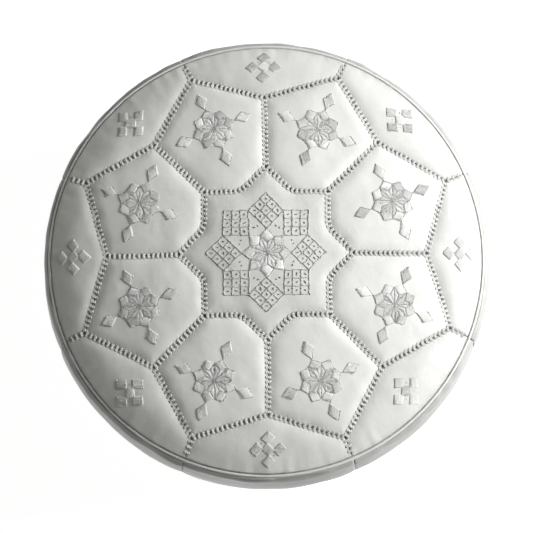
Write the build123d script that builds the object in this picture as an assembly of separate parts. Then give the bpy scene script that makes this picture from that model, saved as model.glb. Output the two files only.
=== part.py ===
"""Moroccan leather pouf: embroidered panelled top, plain side panels, zipped base, liner and stuffing.

Millimetres. +Z is up, the origin is the centre of the floor that the pouf stands on, and X runs along
the zip. The outer skin is one revolved profile, cut into panels along the seams.
"""
import math
import os

from build123d import *

# Overall shape
HEIGHT = 300.0          # floor to the crown of the top
R_MAX = 260.0           # widest radius of the stuffed side
Z_WIDEST = 192.0        # height of that widest ring
R_RIM = 243.5           # piping circle at the edge of the top
Z_RIM = 269.0
R_FOOT = 230.0          # piping circle at the bottom of the side
Z_FOOT = 20.0
R_FLAT = 208.0          # the base is flat on the floor inside this radius
LEATHER = 2.0           # a panel with its backing
SEAM_GAP = 1.0          # between the edges of neighbouring panels

# Top pattern, eightfold
FOLDS = 8
STEP = 360 / FOLDS
R_STAR_TIP = 98.0
NOTCH_RATIO = math.cos(math.radians(45)) / math.cos(math.radians(22.5))  # two overlapping squares
R_VEE = 179.5           # where two kites meet the edge panel between them
R_PEAK = 221.5          # outer point of a kite

# Stitching and embroidery, raised thread lying on the leather
THREAD_LIFT = 0.05      # clearance between leather and thread
STITCH_WIDTH = 6.4
STITCH_HEIGHT = 0.75
EMBROIDERY_HEIGHT = 0.9
R_ROSETTE = 154.0       # rosette centres from the axis
R_ROSETTE_POINT = 24.7
R_ROSETTE_NOTCH = 19.8
DIAMOND_NEAR, DIAMOND_FAR, DIAMOND_HALF_WIDTH = 26.4, 46.0, 6.8
R_CENTRE_MOTIF = 67.0   # outer corners of the ring of squares
MOTIF_GAP = 0.4
R_EDGE_MOTIF = 216.0
EDGE_DIAMOND_PITCH = 13.0
EDGE_DIAMOND_HALF = (6.0, 5.2)  # along and across the radius

# Piping
PIPING_R = 3.0
PIPING_BORE = 1.7
PIPING_CORD_R = 1.6
PIPING_CLEARANCE = 0.3

# Recess in the base that keeps the zip off the floor
RECESS_LENGTH = 360.0
RECESS_WIDTH = 60.0
RECESS_DEPTH = 8.9
RECESS_INSET = 19.0     # how far each wall leans in between the floor and the zip tape
FACING_INSET_INNER = 15.0
FACING_LIP = 2.4        # the inner side of a facing starts this high
MITRE_GAP = 0.2
LINER_RECESS_Z = 12.4   # underside of the liner above the zip
LINER_RECESS_MARGIN = 4.0

# Zip
TAPE_HALF_LENGTH = 158.0
TAPE_Z = 9.0
TAPE_THICKNESS = 0.8
TAPE_OUTER = 16.0
COIL_GAP_HALF = 0.8
COIL_WIDTH = 2.3
COIL_DEPTH = 2.1
COIL_HALF_LENGTH = 140.0
STOP_LENGTH = 4.0
SLIDER_LENGTH = 12.0
SLIDER_WIDTH = 9.6
SLIDER_PLATE = 1.2
SLIDER_CORNER_R = 2.5
FLANGE_LENGTH = 7.0
POST_LENGTH = 4.0
SLIDER_X = 132.0        # centre of the slider, zip closed
POST_HALF_WIDTH = 0.5
COIL_CLEARANCE = 0.3
LUG_LENGTH, LUG_WIDTH, LUG_BOTTOM_Z = 4.6, 2.2, 2.1
HINGE_Z = 3.8
PIN_R, PIN_HOLE_R = 0.7, 0.75
PULL_LENGTH, PULL_WIDTH, PULL_THICKNESS = 26.0, 7.0, 1.3
PULL_CORNER_R = 1.2
PULL_ARM = 1.8          # width of each arm of the fork that carries the hinge pin
FORK_DEPTH = 4.4        # from the pin to the root of the fork
PULL_HOLE_R = 1.5
PULL_HOLE_FROM_PIN = 20.5
PULL_DROOP = 6.0        # degrees; its tip hangs just clear of the floor

# Inside
LINER_OFFSET, LINER_THICKNESS = 3.4, 0.8
STUFFING_OFFSET = 4.4

TALL = 2 * HEIGHT
dome_radius = (R_RIM ** 2 + (HEIGHT - Z_RIM) ** 2) / (2 * (HEIGHT - Z_RIM))


def polar(radius, degrees):
    angle = math.radians(degrees)
    return (radius * math.cos(angle), radius * math.sin(angle))


def polygon(points):
    return make_face(Polyline(*points, close=True))


def save(node, *solids):
    shape = solids[0] if len(solids) == 1 else Compound(children=list(solids))
    export_step(shape, f"parts/{node}.step")


def solids_of(shape):
    return list(shape.solids())


# ---- Revolved skin ----

def sag_radius(rise, run):
    """Radius of an arc that starts tangent to one axis and leaves it by run over a length of rise."""
    return (rise ** 2 + run ** 2) / (2 * run)


def meet(circle_a, circle_b, near):
    """The crossing of two circles, each (x, z, radius), that lies nearest to a point."""
    (ax, az, ar), (bx, bz, br) = circle_a, circle_b
    gap = math.hypot(bx - ax, bz - az)
    along = (gap ** 2 + ar ** 2 - br ** 2) / (2 * gap)
    across = math.sqrt(ar ** 2 - along ** 2)
    ux, uz = (bx - ax) / gap, (bz - az) / gap
    crossings = [(ax + along * ux + s * across * uz, az + along * uz - s * across * ux) for s in (-1, 1)]
    return min(crossings, key=lambda p: math.dist(p, near))


def on_circle(circle, z):
    x, centre_z, radius = circle
    return (x + math.sqrt(radius ** 2 - (z - centre_z) ** 2), z)


def half_profile(inset):
    """Right half of the outline in the XZ plane, moved inwards by inset."""
    foot_r = sag_radius(R_FOOT - R_FLAT, Z_FOOT)
    lower_r = sag_radius(Z_WIDEST - Z_FOOT, R_MAX - R_FOOT)
    upper_r = sag_radius(Z_RIM - Z_WIDEST, R_MAX - R_RIM)
    foot = (R_FLAT, foot_r, foot_r - inset)
    lower = (R_MAX - lower_r, Z_WIDEST, lower_r - inset)
    upper = (R_MAX - upper_r, Z_WIDEST, upper_r - inset)
    dome = (0, HEIGHT - dome_radius, dome_radius - inset)

    foot_end = meet(foot, lower, (R_FOOT, Z_FOOT))
    rim = meet(upper, dome, (R_RIM, Z_RIM))
    widest = (R_MAX - inset, Z_WIDEST)
    crown = (0, HEIGHT - inset)
    dome_middle = (rim[0] / 2, dome[1] + math.sqrt(dome[2] ** 2 - (rim[0] / 2) ** 2))
    return make_face([
        Line((0, inset), (R_FLAT, inset)),
        TangentArc((R_FLAT, inset), foot_end, tangent=(1, 0)),
        ThreePointArc(foot_end, on_circle(lower, (foot_end[1] + Z_WIDEST) / 2), widest),
        ThreePointArc(widest, on_circle(upper, (rim[1] + Z_WIDEST) / 2), rim),
        ThreePointArc(rim, dome_middle, crown),
        Line(crown, (0, inset)),
    ])


def drum(inset=0.0):
    """The whole stuffed shape as one solid, its outline moved inwards by inset."""
    return revolve(Plane.XZ * half_profile(inset), Axis.Z)


def ring(major, radius, z):
    return Pos(0, 0, z) * Torus(major, radius)


def column(face, bottom, top):
    """A planar outline run straight up between two heights."""
    return Pos(0, 0, bottom) * extrude(face, top - bottom, dir=(0, 0, 1))


def wedge(centre, gap):
    """One eighth of the plan, its two straight edges moved in by half the seam gap."""
    reach = 2 * R_MAX
    triangle = polygon([(0, 0), polar(reach, centre - STEP / 2), polar(reach, centre + STEP / 2)])
    return offset(triangle, amount=-gap / 2, kind=Kind.INTERSECTION)


# ---- Top: panels, stitching and embroidery laid on the dome ----

def dome_layer(low, high):
    """A skin of the dome between two offsets from its outer surface."""
    centre_z = HEIGHT - dome_radius
    slab = Pos(0, 0, Z_RIM) * Cylinder(R_RIM, 2 * (HEIGHT - Z_RIM))
    outer = Pos(0, 0, centre_z) * Sphere(dome_radius + high)
    inner = Pos(0, 0, centre_z) * Sphere(dome_radius + low)
    return (slab & outer) - inner


def laid(outline, layer):
    return column(outline, Z_RIM - 2 * PIPING_R, HEIGHT + PIPING_R) & layer


def star_points():
    points = []
    for k in range(FOLDS):
        points.append(polar(R_STAR_TIP, k * STEP))
        points.append(polar(R_STAR_TIP * NOTCH_RATIO, (k + 0.5) * STEP))
    return points


def zigzag_points():
    points = []
    for k in range(FOLDS):
        points.append(polar(R_VEE, k * STEP))
        points.append(polar(R_PEAK, (k + 0.5) * STEP))
    return points


def kite_points(centre):
    left, right = centre - STEP / 2, centre + STEP / 2
    return [polar(R_STAR_TIP, left), polar(R_VEE, left), polar(R_PEAK, centre), polar(R_VEE, right),
            polar(R_STAR_TIP, right), polar(R_STAR_TIP * NOTCH_RATIO, centre)]


def panel_outline(points):
    return offset(polygon(points), amount=-SEAM_GAP / 2, kind=Kind.INTERSECTION)


def ribbon(points):
    """A band of stitching centred on a closed seam line."""
    seam = polygon(points)
    return (offset(seam, amount=STITCH_WIDTH / 2, kind=Kind.INTERSECTION)
            - offset(seam, amount=-STITCH_WIDTH / 2, kind=Kind.INTERSECTION))


def radial_strip(inner, outer, angle):
    middle = (inner + outer) / 2
    return Rot(0, 0, angle) * Pos(middle, 0) * Rectangle(outer - inner, STITCH_WIDTH)


def diamond(centre, half_along, half_across):
    return polygon([(centre - half_along, 0), (centre, half_across), (centre + half_along, 0),
                    (centre, -half_across)])


def top_panels():
    skin = dome_layer(-LEATHER, 0)
    trim = ring(R_RIM, PIPING_R + PIPING_CLEARANCE, Z_RIM)
    save("top_star_panel", laid(panel_outline(star_points()), skin))
    zigzag = polygon(zigzag_points())
    outside = Circle(R_RIM) - offset(zigzag, amount=SEAM_GAP / 2, kind=Kind.INTERSECTION)
    for k in range(FOLDS):
        kite = panel_outline(kite_points((k + 0.5) * STEP))
        save(f"top_kite_panel_{k + 1}", laid(kite, skin))
        edge = outside & wedge(k * STEP, SEAM_GAP)
        save(f"top_edge_panel_{k + 1}", laid(edge, skin) - trim)


def top_stitching():
    thread = dome_layer(THREAD_LIFT, STITCH_HEIGHT)
    star = ribbon(star_points())
    zigzag = ribbon(zigzag_points())
    save("star_seam_stitching", laid(star, thread))
    save("zigzag_seam_stitching", laid(zigzag, thread))
    spokes, rim_seams = [], []
    for k in range(FOLDS):
        spoke = radial_strip(R_STAR_TIP, R_VEE, k * STEP) - star - zigzag
        spokes += solids_of(laid(spoke, thread))
        short = radial_strip(R_PEAK, R_RIM - PIPING_R - SEAM_GAP, (k + 0.5) * STEP) - zigzag
        rim_seams += solids_of(laid(short, thread))
    save("spoke_seam_stitching", *spokes)
    save("rim_seam_stitching", *rim_seams)


def embroidery():
    thread = dome_layer(THREAD_LIFT, EMBROIDERY_HEIGHT)

    boss = polygon([polar(R_ROSETTE_POINT if i % 2 == 0 else R_ROSETTE_NOTCH, i * STEP / 2)
                    for i in range(2 * FOLDS)])
    half = (DIAMOND_FAR - DIAMOND_NEAR) / 2
    arm = diamond(DIAMOND_NEAR + half, half, DIAMOND_HALF_WIDTH)
    for k in range(FOLDS):
        place = Rot(0, 0, (k + 0.5) * STEP) * Pos(R_ROSETTE, 0)
        pieces = [place * boss] + [place * Rot(0, 0, 90 * i) * arm for i in range(4)]
        save(f"rosette_embroidery_{k + 1}", *[s for p in pieces for s in solids_of(laid(p, thread))])

    inner = R_CENTRE_MOTIF * math.tan(math.radians(STEP / 2))
    half = (R_CENTRE_MOTIF - inner) / 2
    square = diamond(inner + half, half - MOTIF_GAP, half - MOTIF_GAP)
    scale_down = (inner - MOTIF_GAP) / R_ROSETTE_POINT
    pieces = [scale(boss, scale_down)] + [Rot(0, 0, k * STEP) * square for k in range(FOLDS)]
    save("centre_embroidery", *[s for p in pieces for s in solids_of(laid(p, thread))])

    pieces = []
    for k in range(FOLDS):
        for dx, dy in ((0, 0), (1, 0), (-1, 0), (0, 1), (0, -1)):
            spot = Pos(R_EDGE_MOTIF + dx * EDGE_DIAMOND_PITCH, dy * EDGE_DIAMOND_PITCH)
            pieces.append(Rot(0, 0, k * STEP) * spot * diamond(0, *EDGE_DIAMOND_HALF))
    save("edge_embroidery", *[s for p in pieces for s in solids_of(laid(p, thread))])


# ---- Side, base and piping ----

def skin_panels():
    shell = drum() - drum(LEATHER)
    head_trim = ring(R_RIM, PIPING_R + PIPING_CLEARANCE, Z_RIM)
    foot_trim = ring(R_FOOT, PIPING_R + PIPING_CLEARANCE, Z_FOOT)
    upper_cut = Pos(0, 0, HEIGHT) * Cylinder(R_RIM, 2 * (HEIGHT - Z_WIDEST))
    lower_cut = Cylinder(R_FOOT, 2 * (Z_FOOT + LEATHER))
    side = shell - upper_cut - lower_cut - head_trim - foot_trim
    for k in range(FOLDS):
        sector = column(wedge(k * STEP, SEAM_GAP), 0, TALL)
        save(f"side_panel_{k + 1}", *solids_of(side & sector))

    base = (shell & lower_cut) - foot_trim
    edge = RECESS_WIDTH / 2 + SEAM_GAP / 4
    plan = Pos(0, edge + R_MAX / 2) * Rectangle(2 * R_MAX, R_MAX)
    for name, turn in (("front", 180), ("rear", 0)):
        save(f"base_panel_{name}", *solids_of(base & column(Rot(0, 0, turn) * plan, -1, 2 * Z_FOOT)))

    walls = recess_walls()
    plan = Pos((RECESS_LENGTH + R_MAX) / 2, 0) * Rectangle(R_MAX, RECESS_WIDTH - SEAM_GAP / 2)
    half_x, half_y = RECESS_LENGTH / 2, RECESS_WIDTH / 2 - SEAM_GAP / 4
    wall_plan = polygon([(half_x, -half_y), (half_x, half_y), (half_x - half_y, 0)])
    for name, turn in (("right", 0), ("left", 180)):
        flat = base & column(Rot(0, 0, turn) * plan, -1, 2 * Z_FOOT)
        wall = walls & column(Rot(0, 0, turn) * wall_plan, -1, 2 * RECESS_DEPTH)
        save(f"base_end_panel_{name}", flat + wall)


def piping(node, major, z):
    save(node, ring(major, PIPING_R, z) - ring(major, PIPING_BORE, z))
    save(f"{node}_cord", ring(major, PIPING_CORD_R, z))


# ---- Zip, set up in a recess in the base ----

def recess(inset, bottom):
    """The hollow under the zip: four walls that lean in from the floor to the tape."""
    low = Pos(0, 0, bottom) * Rectangle(RECESS_LENGTH, RECESS_WIDTH)
    high = Pos(0, 0, RECESS_DEPTH) * Rectangle(RECESS_LENGTH - 2 * inset, RECESS_WIDTH - 2 * inset)
    return loft([low, high])


def recess_walls():
    """Leather walls of the recess, all four in one ring."""
    lip = column(Rectangle(RECESS_LENGTH, RECESS_WIDTH), 0, FACING_LIP)
    slope = recess(FACING_INSET_INNER, FACING_LIP) + lip
    return slope - recess(RECESS_INSET, 0)


def zip_facings():
    half_x, half_y, cut = RECESS_LENGTH / 2, RECESS_WIDTH / 2, 2 * MITRE_GAP
    plan = polygon([(-half_x + cut, half_y), (half_x - cut, half_y), (half_x - half_y - cut, 0),
                    (-half_x + half_y + cut, 0)])
    for name, turn in (("rear", 0), ("front", 180)):
        wall = recess_walls() & column(Rot(0, 0, turn) * plan, -1, 2 * RECESS_DEPTH)
        save(f"zip_facing_{name}", *solids_of(wall))


def zip_rows():
    for name, side in (("front", -1), ("rear", 1)):
        tape_width = TAPE_OUTER - COIL_GAP_HALF
        tape = Box(2 * TAPE_HALF_LENGTH, tape_width, TAPE_THICKNESS)
        save(f"zip_tape_{name}",
             Pos(0, side * (COIL_GAP_HALF + tape_width / 2), TAPE_Z + TAPE_THICKNESS / 2) * tape)
        coil = Box(2 * COIL_HALF_LENGTH, COIL_WIDTH, COIL_DEPTH)
        save(f"zip_coil_{name}",
             Pos(0, side * (COIL_GAP_HALF + COIL_WIDTH / 2), TAPE_Z - COIL_DEPTH / 2) * coil)
    stop_y = COIL_GAP_HALF + COIL_WIDTH / 2
    stop_x = COIL_HALF_LENGTH + MITRE_GAP + STOP_LENGTH / 2
    stop_z = TAPE_Z - COIL_DEPTH / 2
    top_stop = Box(STOP_LENGTH, COIL_WIDTH, COIL_DEPTH)
    save("zip_top_stops", *[Pos(stop_x, side * stop_y, stop_z) * top_stop for side in (-1, 1)])
    bottom_stop = Box(STOP_LENGTH, 2 * (COIL_GAP_HALF + COIL_WIDTH), COIL_DEPTH)
    save("zip_bottom_stop", Pos(-stop_x, 0, stop_z) * bottom_stop)


def zip_slider():
    """Two plates joined by a thin post between the coils, with flanges outside them and a lug below."""
    plan = RectangleRounded(SLIDER_LENGTH, SLIDER_WIDTH, SLIDER_CORNER_R)
    outer_top = TAPE_Z - COIL_DEPTH - COIL_CLEARANCE
    inner_bottom = TAPE_Z + TAPE_THICKNESS + COIL_CLEARANCE
    outer_plate = column(plan, outer_top - SLIDER_PLATE, outer_top)
    inner_plate = column(plan, inner_bottom, inner_bottom + SLIDER_PLATE)
    post = Pos(SLIDER_LENGTH / 4, 0, (outer_top + inner_bottom) / 2) * Box(
        POST_LENGTH, 2 * POST_HALF_WIDTH, inner_bottom - outer_top + SLIDER_PLATE)
    flange_inner = COIL_GAP_HALF + COIL_WIDTH + COIL_CLEARANCE
    flange = column(Rectangle(FLANGE_LENGTH, SLIDER_WIDTH / 2 - flange_inner),
                    outer_top - SLIDER_PLATE / 2, TAPE_Z - COIL_CLEARANCE)
    slider = outer_plate + inner_plate + post
    for side in (-1, 1):
        slider += Pos(0, side * (flange_inner + SLIDER_WIDTH / 2) / 2, 0) * flange
    lug_height = outer_top - SLIDER_PLATE / 2 - LUG_BOTTOM_Z
    slider += Pos(0, 0, LUG_BOTTOM_Z + lug_height / 2) * Box(LUG_LENGTH, LUG_WIDTH, lug_height)
    slider -= Pos(0, 0, HINGE_Z) * Rot(90, 0, 0) * Cylinder(PIN_HOLE_R, 2 * LUG_WIDTH)
    save("zip_slider", Pos(SLIDER_X, 0, 0) * slider)


def zip_pull():
    """A flat pull whose crossbar is the hinge pin; it droops until its tip is just off the floor."""
    blank = RectangleRounded(PULL_LENGTH, PULL_WIDTH, PULL_CORNER_R)
    outline = Pos(-PULL_LENGTH / 2 + PULL_THICKNESS, 0) * blank
    fork = Pos(-FORK_DEPTH + PULL_WIDTH / 2, 0) * Rectangle(PULL_WIDTH, PULL_WIDTH - 2 * PULL_ARM)
    hang_hole = Pos(-PULL_HOLE_FROM_PIN, 0) * Circle(PULL_HOLE_R)
    plate = column(outline - fork - hang_hole, -PULL_THICKNESS / 2, PULL_THICKNESS / 2)
    pin = Rot(90, 0, 0) * Cylinder(PIN_R, PULL_WIDTH - PULL_ARM)
    pull = plate + pin
    save("zip_pull", Pos(SLIDER_X, 0, HINGE_Z) * Rot(0, -PULL_DROOP, 0) * pull)


# ---- Inside ----

def lined(inset):
    """The inside of the skin at a given depth, kept clear of the zip."""
    clear = inset - LINER_OFFSET
    margin = 2 * (clear + LINER_RECESS_MARGIN)
    hollow = Box(RECESS_LENGTH + margin, RECESS_WIDTH + margin, 2 * (LINER_RECESS_Z + clear))
    return drum(inset) - hollow


def inner_layers():
    save("liner_bag", lined(LINER_OFFSET) - lined(LINER_OFFSET + LINER_THICKNESS))
    save("stuffing", lined(STUFFING_OFFSET))


os.makedirs("parts", exist_ok=True)
top_panels()
top_stitching()
embroidery()
skin_panels()
piping("top_piping", R_RIM, Z_RIM)
piping("foot_piping", R_FOOT, Z_FOOT)
zip_facings()
zip_rows()
zip_slider()
zip_pull()
inner_layers()
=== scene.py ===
"""Moroccan leather pouf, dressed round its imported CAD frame. Lengths are millimetres until put()."""
import math

import bpy
import numpy as np
from mathutils import Matrix, Vector, geometry
from mathutils.bvhtree import BVHTree


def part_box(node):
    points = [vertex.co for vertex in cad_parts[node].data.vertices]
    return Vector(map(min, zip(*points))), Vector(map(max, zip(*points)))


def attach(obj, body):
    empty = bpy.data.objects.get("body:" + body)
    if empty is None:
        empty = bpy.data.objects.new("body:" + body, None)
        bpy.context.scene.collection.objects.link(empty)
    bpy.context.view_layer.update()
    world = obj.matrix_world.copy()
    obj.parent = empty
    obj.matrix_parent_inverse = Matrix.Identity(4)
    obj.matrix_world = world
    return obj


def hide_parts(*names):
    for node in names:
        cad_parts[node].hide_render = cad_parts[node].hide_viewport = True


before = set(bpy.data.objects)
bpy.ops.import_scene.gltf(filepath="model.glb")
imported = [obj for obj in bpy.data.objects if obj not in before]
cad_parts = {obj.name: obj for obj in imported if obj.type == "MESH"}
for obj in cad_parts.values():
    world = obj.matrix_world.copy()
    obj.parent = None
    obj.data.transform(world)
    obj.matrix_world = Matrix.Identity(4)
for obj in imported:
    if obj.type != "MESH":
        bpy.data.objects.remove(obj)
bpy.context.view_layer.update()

MM = 0.001
FOLDS = 8               # the pattern repeats this often round the axis
STEP = 360 / FOLDS
HALF = STEP / 2
rng = np.random.default_rng(8)


def node_box(node):
    lo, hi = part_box(node)
    return np.array(lo) / MM, np.array(hi) / MM


def ring_size(node):
    """Tube radius, ring radius and height of a piping ring."""
    lo, hi = node_box(node)
    tube = (hi[2] - lo[2]) / 2
    return tube, hi[0] - tube, (hi[2] + lo[2]) / 2


# ---- Sizes, from the frame where it has them ----

PIPING_R, RIM_R, RIM_Z = ring_size("top_piping")
FOOT_TUBE, FOOT_R, FOOT_Z = ring_size("foot_piping")
CROWN_Z = node_box("top_star_panel")[1][2]
DOME_R = (RIM_R ** 2 + (CROWN_Z - RIM_Z) ** 2) / (2 * (CROWN_Z - RIM_Z))
WIDEST_R = node_box("side_panel_1")[1][0]
side_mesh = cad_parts["side_panel_1"].data
WIDEST_Z = max(side_mesh.vertices, key=lambda v: v.co.x).co.z / MM
FLAT_R = 208.0          # where the flat of the base ends

# The seams of the top.
STAR_TIP_R = 98.0
STAR_NOTCH_R = STAR_TIP_R * math.cos(math.radians(45)) / math.cos(math.radians(22.5))
VEE_R = 179.5           # where two kites meet at their outer ends
PEAK_R = 221.5          # a kite's outer tip
NOTCH_ROUNDING = 9.0
TIP_ROUNDING = 1.5
CORNER_ROUNDING = 2.0
SEAM_HALF_GAP = 0.2

# The leather of the top panels.
FINE_STEP = 1.0         # triangle size by the seams
COARSE_STEP = 2.4       # and further in
FINE_BAND = 6.0
SEAM_SINK = -0.6        # the seams lie this far off the CAD skin
LEATHER = 1.2
SEAM_CURL = 0.3         # a cut edge turns down this far
CURL_WIDTH = 0.9
ROLL_REACH = 7.0        # a panel's edge rises quickly, just beyond the ends of the stitches
PUFF_REACH = 15.0       # how far from a seam the panel takes to fill out
ROLL = {"star": 1.1, "kite": 1.2, "edge": 1.0}
PUFF = {"star": 1.9, "kite": 2.5, "edge": 2.4}
# Painted shade in the top leather's colour: an even darker tone over each whole panel of a kind, and a dark
# band along each seam.
PANEL_SHADE = {"star": 0.27, "kite": 0.02, "edge": 0.15}
SEAM_SHADE = 0.85
SEAM_SHADE_REACH = 3.1       # the painted seam shade lies under the stitches and ends with them
JUNCTION_DENT = 0.3
DENT_REACH = 3.2
HAND_DRIFT = 1.6        # how far hand work strays from the true pattern
DRIFT_CELL = 70.0
DRIFT_FADE = 30.0       # it dies away towards the rim

# The top bead shows slimmer than its CAD tube, further out and lower.
WELT_R, WELT_SHIFT, WELT_DROP = 2.0, 2.2, 6.0
RIM_OVERLAP = 0.3       # the edge panels reach this far over it
PANEL_RIM_R = RIM_R + WELT_SHIFT - WELT_R + RIM_OVERLAP
RIM_SLOPE = 36.0        # they come down to the rim over this width
RIM_DROP = 2.0          # and dip this far
RIM_TUCK = 0.3
CORD_R = 1.2

# The stitches over the seams.
STITCH_PITCH = 5.35
STITCH_MARGIN = 0.5     # bare seam at each end
STITCH_REACH = 3.5
STITCH_WIDTH = 2.9
STITCH_HEIGHT = 0.55
STITCH_PULL = 0.1       # each draws the leather down this far
PULL_REACH = 2.2
STITCH_WANDER, STITCH_SLANT = 0.12, 0.06    # how unevenly they are placed and turned


# ---- Small geometry helpers ----

def polar(radius, degrees):
    angle = math.radians(degrees)
    return np.array([radius * math.cos(angle), radius * math.sin(angle)])


def turn(points, degrees):
    c, s = math.cos(math.radians(degrees)), math.sin(math.radians(degrees))
    return points @ np.array([[c, s], [-s, c]])


def unit(v):
    """A vector, or each row of an array of them, at length 1."""
    return v / np.linalg.norm(v, axis=-1, keepdims=True)


def left_of(directions):
    return np.column_stack([-directions[:, 1], directions[:, 0]])


def noise(points, cell, seed):
    """Smooth seeded value noise between -1 and 1 at points of one to three coordinates."""
    p = np.zeros((len(points), 3))
    p[:, :points.shape[1]] = points / cell
    base = np.floor(p).astype(np.int64)
    blend = p - base
    blend = blend * blend * (3 - 2 * blend)
    total = np.zeros(len(p))
    for corner in np.ndindex(2, 2, 2):
        c = base + corner
        h = (c[:, 0] * 73856093) ^ (c[:, 1] * 19349663) ^ (c[:, 2] * 83492791) ^ (seed * 2654435761)
        h = ((h ^ (h >> 13)) * 1274126177) & 0x7FFFFFFF
        value = ((h ^ (h >> 15)) & 0xFFFF) / 32767.5 - 1
        total += value * np.where(corner, blend, 1 - blend).prod(1)
    return total


def dome_z(xy):
    r2 = (xy ** 2).sum(-1)
    return CROWN_Z - DOME_R + np.sqrt(DOME_R ** 2 - r2)


def inset(points, amount):
    """A counter-clockwise outline with every edge moved inwards."""
    moved = []
    for before, here, after in zip(np.roll(points, 1, 0), points, np.roll(points, -1, 0)):
        a, b = left_of(unit(np.array([here - before, after - here])))
        moved.append(here + (a + b) * amount / (1 + a @ b))
    return np.array(moved)


def soften(points, cuts):
    """Rounds each corner of a closed outline by a curve that starts its cut length away."""
    path = []
    for before, here, after, cut in zip(np.roll(points, 1, 0), points, np.roll(points, -1, 0), cuts):
        if not cut:
            path.append(here)
            continue
        start, end = here - unit(here - before) * cut, here + unit(after - here) * cut
        for t in np.linspace(0, 1, 7):
            path.append((1 - t) ** 2 * start + 2 * t * (1 - t) * here + t ** 2 * end)
    return np.array(path)


def along(path, places):
    """Points and unit directions at distances along an open path."""
    lengths = np.linalg.norm(np.diff(path, axis=0), axis=1)
    marks = np.concatenate([[0], np.cumsum(lengths)])
    spots = np.stack([np.interp(places, marks, path[:, i]) for i in range(path.shape[1])], 1)
    span = np.clip(np.searchsorted(marks, places) - 1, 0, len(lengths) - 1)
    return spots, unit(np.diff(path, axis=0))[span]


def path_length(path):
    return float(np.linalg.norm(np.diff(path, axis=0), axis=1).sum())


def edges(outline):
    return zip(outline, np.roll(outline, -1, 0))


def resample(outline, step):
    """A closed outline as evenly spaced points that keep its corners."""
    points = []
    for a, b in edges(outline):
        count = max(1, round(np.linalg.norm(b - a) / step))
        points += [a + (b - a) * i / count for i in range(count)]
    return np.array(points)


def outline_distance(points, outline):
    best = np.full(len(points), np.inf)
    for a, b in edges(outline):
        t = np.clip(((points - a) @ (b - a)) / ((b - a) @ (b - a)), 0, 1)
        best = np.minimum(best, np.linalg.norm(points - a - t[:, None] * (b - a), axis=1))
    return best


def inside(points, outline):
    hit = np.zeros(len(points), bool)
    x, y = points[:, 0], points[:, 1]
    for (ax, ay), (bx, by) in edges(outline):
        if ay == by:
            continue
        hit ^= ((ay > y) != (by > y)) & (x < (bx - ax) * (y - ay) / (by - ay) + ax)
    return hit


def lattice(outline, step):
    """Points on an even triangular lattice inside an outline, with their distance from it."""
    lo, hi = outline.min(0), outline.max(0)
    rows = np.arange(lo[1], hi[1], step * math.sqrt(3) / 2)
    columns = np.arange(lo[0], hi[0], step)
    points = np.concatenate([np.column_stack([columns + (i % 2) * step / 2, np.full(len(columns), y)])
                             for i, y in enumerate(rows)])
    points = points[inside(points, outline)]
    return points, outline_distance(points, outline)


def fill(outline, fine, coarse, band=0.0):
    """Triangles inside an outline, fine within the band: points, triangles, distances from the edge."""
    border = resample(outline, fine)
    points, distance = lattice(border, fine)
    wanted = [border, points[(distance > 0.6 * fine) & (distance < band)]]
    points, distance = lattice(border, coarse)
    wanted.append(points[distance > max(band + 0.3 * coarse, 0.6 * coarse)])
    points = [Vector(p) for p in np.concatenate(wanted)]
    verts, _, faces, *_ = geometry.delaunay_2d_cdt(points, [], [list(range(len(border)))], 1, 1e-6)
    verts = np.array([v[:] for v in verts])
    return verts, np.array([f for f in faces if len(f) == 3]), outline_distance(verts, border)


def stuffed(points, faces, distance, reach, rounds=400):
    """Height from 0 to 1 of a membrane pinned at the edge and pushed up over the whole panel."""
    count = len(points)
    mass = np.zeros(count)
    pairs, weights = [], []
    for i in range(3):
        a, b, c = (faces[:, (i + j) % 3] for j in range(3))
        u, v = points[b] - points[a], points[c] - points[a]
        area = np.abs(u[:, 0] * v[:, 1] - u[:, 1] * v[:, 0])
        cotangent = np.maximum((u * v).sum(1) / area, 0.02) / 2 * reach ** 2
        mass += np.bincount(a, area / 6, count)
        pairs += [(b, c), (c, b)]
        weights += [cotangent, cotangent]
    here, there = (np.concatenate([p[i] for p in pairs]) for i in range(2))
    weights = np.concatenate(weights)
    stiffness = np.bincount(here, weights, count)
    free = distance > 1e-6
    height = 1 - np.exp(-distance / reach)
    for _ in range(rounds):
        pulled = np.bincount(here, weights * height[there], count)
        height = np.where(free, (mass + pulled) / (mass + stiffness), 0)
    return height


def grid(rows, columns, round_rows=False, round_columns=False):
    """The quads of a grid of points listed row by row, which may close round on itself either way."""
    i, j = np.indices((rows - 1 + round_rows, columns - 1 + round_columns)).reshape(2, -1)
    row, next_row, next_j = i * columns, (i + 1) % rows * columns, (j + 1) % columns
    return np.stack([row + j, row + next_j, next_row + next_j, next_row + j], 1)


FLIPPED = [0, 3, 2, 1]      # corner order that turns quads over


# ---- Putting pieces into the scene ----

def add_object(name, data):
    obj = bpy.data.objects.new(name, data)
    bpy.context.scene.collection.objects.link(obj)
    return obj


def put(name, verts, faces, material, body="pouf", replaces=(), uv=None, wear_and_shade=None, thickness=0.0):
    """A mesh piece in metres, riding on its body. wear_and_shade is a number per point that the material
    reads: worn, soiled places and painted shade.
    """
    mesh = bpy.data.meshes.new(name)
    faces = faces if isinstance(faces, list) else faces.tolist()
    mesh.from_pydata((verts * MM).tolist(), [], faces)
    mesh.shade_smooth()
    if wear_and_shade is not None:
        mesh.attributes.new("wear_and_shade", "FLOAT", "POINT").data.foreach_set("value", wear_and_shade.astype(np.float32))
    if uv is not None:
        loops = np.empty(len(mesh.loops), np.int32)
        mesh.loops.foreach_get("vertex_index", loops)
        mesh.uv_layers.new(name="UVMap").data.foreach_set("uv", uv[loops].astype(np.float32).ravel())
    mesh.materials.append(material)
    obj = add_object(name, mesh)
    if thickness:
        solid = obj.modifiers.new("thickness", "SOLIDIFY")
        solid.thickness = thickness * MM
        solid.offset = -1
    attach(obj, body)
    if replaces:
        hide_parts(*replaces)
    return obj


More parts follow.
